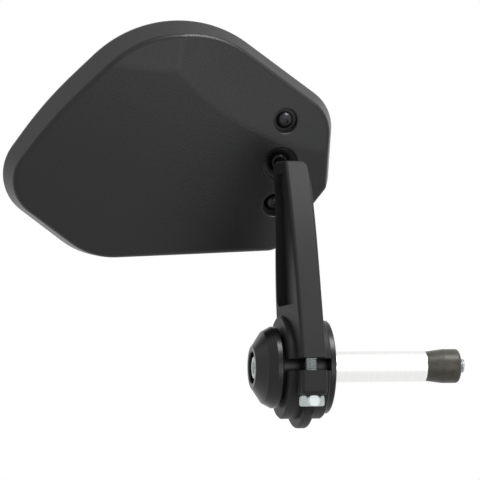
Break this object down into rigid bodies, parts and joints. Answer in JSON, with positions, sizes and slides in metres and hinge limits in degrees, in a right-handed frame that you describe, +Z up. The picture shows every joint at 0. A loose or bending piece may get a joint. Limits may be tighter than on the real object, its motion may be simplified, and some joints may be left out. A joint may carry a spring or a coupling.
{
  "type": "motorcycle bar end mirror",
  "caption": "Bar end mirror: moulded head on a ball joint, swept arm with a split clamp on a flanged bush, and a rubber expander for the handlebar bore.",
  "frame": {"origin": "on the handlebar axis, at the flange face that meets the end of the handlebar", "axes": "+X along the handlebar and inboard, +Z up along the pinch bolt, -Y forward"},
  "size_m": [0.1889, 0.0923, 0.1752],
  "materials": {
    "moulded_shell": "black moulded plastic with a fine spark grain",
    "mirror_glass": "silvered convex glass",
    "adhesive_tape": "black foam tape",
    "seat_plastic": "natural acetal",
    "zinc_steel": "bright zinc plate",
    "black_steel": "black oxide steel, oiled",
    "gloss_black_steel": "glossy black plated steel",
    "anodised_arm": "satin black anodised cast aluminium",
    "anodised_turning": "glossy black anodised turned aluminium",
    "bright_aluminium": "raw turned aluminium",
    "expander_rubber": "dark moulded rubber"
  },
  "bodies": {
    "bar_fitting": {"clamp_bush": "anodised_arm", "bar_end_weight": "anodised_turning", "bolt_washer": "zinc_steel", "centre_bolt": "zinc_steel", "spacer_tube": "bright_aluminium", "rubber_expander": "expander_rubber", "expander_nut": "zinc_steel"},
    "arm": {"arm": "anodised_arm", "pinch_bolt": "zinc_steel", "ball_stud": "gloss_black_steel"},
    "tilt_seat": {"front_seat": "seat_plastic"},
    "pan_seat": {"rear_seat": "seat_plastic"},
    "mirror_head": {"mirror_housing": "moulded_shell", "mirror_glass": "mirror_glass", "glass_tape": "adhesive_tape", "clamp_plate": "zinc_steel", "clamp_screws": "black_steel", "clamp_nuts": "zinc_steel"}
  },
  "joints": [
    {"name": "arm_swivel", "type": "hinge", "parent": "bar_fitting", "child": "arm", "pos_m": [-0.0115, 0, 0], "axis": [1, 0, 0], "continuous": true},
    {"name": "mirror_tilt", "type": "hinge", "parent": "arm", "child": "tilt_seat", "pos_m": [-0.0115, 0.035, 0.0914], "axis": [1, 0, 0], "range_deg": [-16, 16]},
    {"name": "mirror_pan", "type": "hinge", "parent": "tilt_seat", "child": "pan_seat", "pos_m": [-0.0115, 0.035, 0.0914], "axis": [0, -0.3907, 0.9205], "range_deg": [-16, 16]},
    {"name": "mirror_roll", "type": "hinge", "parent": "pan_seat", "child": "mirror_head", "pos_m": [-0.0115, 0.035, 0.0914], "axis": [0, -0.9205, -0.3907], "range_deg": [-20, 20]}
  ]
}
